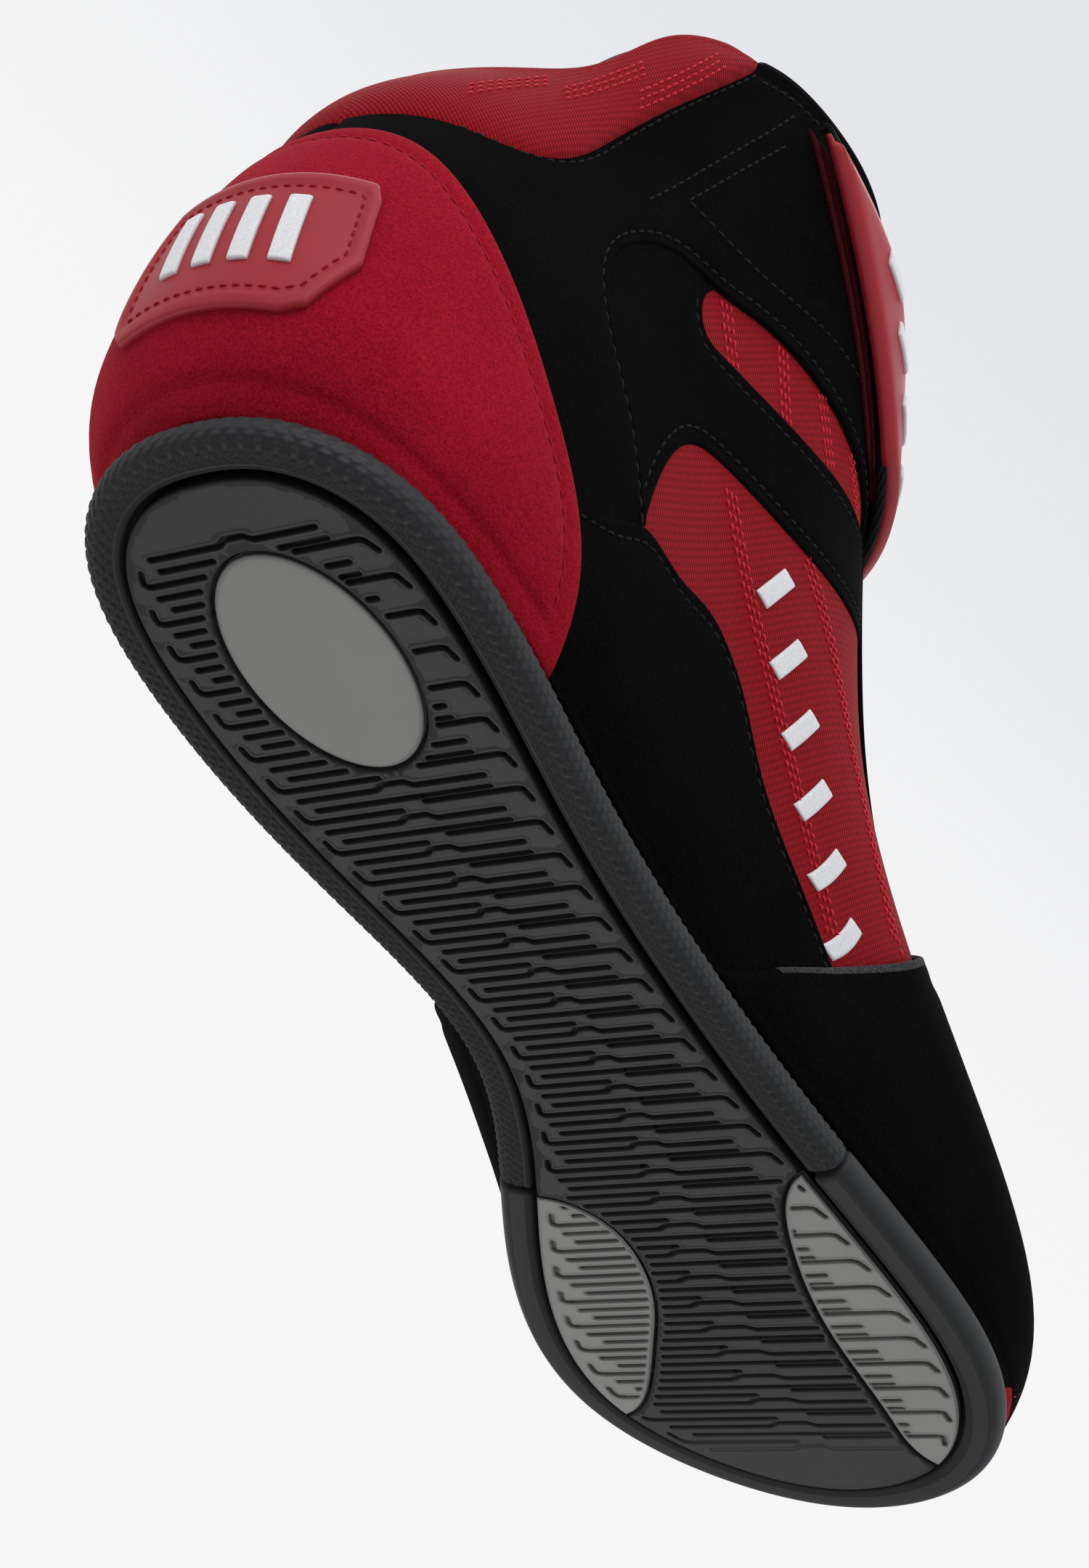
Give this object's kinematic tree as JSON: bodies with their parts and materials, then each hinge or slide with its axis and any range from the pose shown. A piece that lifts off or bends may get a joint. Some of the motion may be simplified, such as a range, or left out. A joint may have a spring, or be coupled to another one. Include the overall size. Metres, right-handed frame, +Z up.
{
  "type": "boxing boot",
  "caption": "Ankle-high boxing boot for the right foot, with a thin treaded rubber sole, suede and mesh upper, padded collar and an ankle strap.",
  "frame": {"origin": "on the ground under the centre of the heel tread", "axes": "+X from heel to toe, +Y towards the inner (medial) side, +Z up"},
  "size_m": [0.3115, 0.1054, 0.201],
  "materials": {
    "black_suede": "napped suede",
    "red_suede": "fine grained suede",
    "red_mesh": "woven mesh",
    "sole_rubber": "matt moulded rubber",
    "insert_rubber": "matt grey rubber",
    "red_rubber": "soft moulded rubber",
    "white_print": "raised white print",
    "foam": "closed cell foam",
    "lining_cloth": "brushed lining",
    "board": "fibre board",
    "stiffener": "moulded stiffener",
    "shank_steel": "plain strip",
    "strap_cloth": "woven textile",
    "touch_tape": "hook and loop tape",
    "eyelet_metal": "black enamel"
  },
  "bodies": {
    "boot": {"outsole": "sole_rubber", "rear_sidewall": "sole_rubber", "toe_bumper": "sole_rubber", "heel_insert": "insert_rubber", "forefoot_insert_lateral": "insert_rubber", "forefoot_insert_medial": "insert_rubber", "midsole": "foam", "shank": "shank_steel", "insole_board": "board", "insole": "lining_cloth", "heel_stiffener": "stiffener", "toe_puff": "stiffener", "collar_foam": "foam", "quarter_lining": "lining_cloth", "vamp_lining": "lining_cloth", "mesh_quarter_lateral": "red_mesh", "mesh_quarter_medial": "red_mesh", "vamp_base": "lining_cloth", "heel_counter": "red_suede", "collar_mesh": "red_mesh", "toe_vamp": "black_suede", "toe_cap": "red_suede", "eyestay_lateral": "black_suede", "eyestay_medial": "black_suede", "quarter_lower_lateral": "black_suede", "quarter_lower_medial": "black_suede", "quarter_upper_lateral": "black_suede", "quarter_upper_medial": "black_suede", "ankle_wrap_lateral": "black_suede", "ankle_wrap_medial": "black_suede", "tongue": "black_suede", "loop_patch": "touch_tape", "strap_anchor": "strap_cloth", "heel_badge": "red_rubber", "badge_mark": "white_print", "side_mark": "white_print", "eyelets": "eyelet_metal"},
    "strap_wrap": {"strap_front": "strap_cloth"},
    "strap_end": {"strap_tip": "strap_cloth", "hook_patch": "touch_tape", "strap_tab": "red_rubber"},
    "tongue_top": {"tongue_flap": "black_suede"}
  },
  "joints": [
    {"name": "strap_swing", "type": "hinge", "parent": "boot", "child": "strap_wrap", "pos_m": [0.0443, 0.0412, 0.15], "axis": [0, 0, 1], "range_deg": [0, 70]},
    {"name": "strap_peel", "type": "hinge", "parent": "strap_wrap", "child": "strap_end", "pos_m": [0.079, -0.0335, 0.15], "axis": [0, 0, 1], "range_deg": [0, 80]},
    {"name": "tongue_bend", "type": "hinge", "parent": "boot", "child": "tongue_top", "pos_m": [0.0705, 0, 0.186], "axis": [0, 1, 0], "range_deg": [0, 30], "stiffness_Nm_per_rad": 0.02}
  ]
}
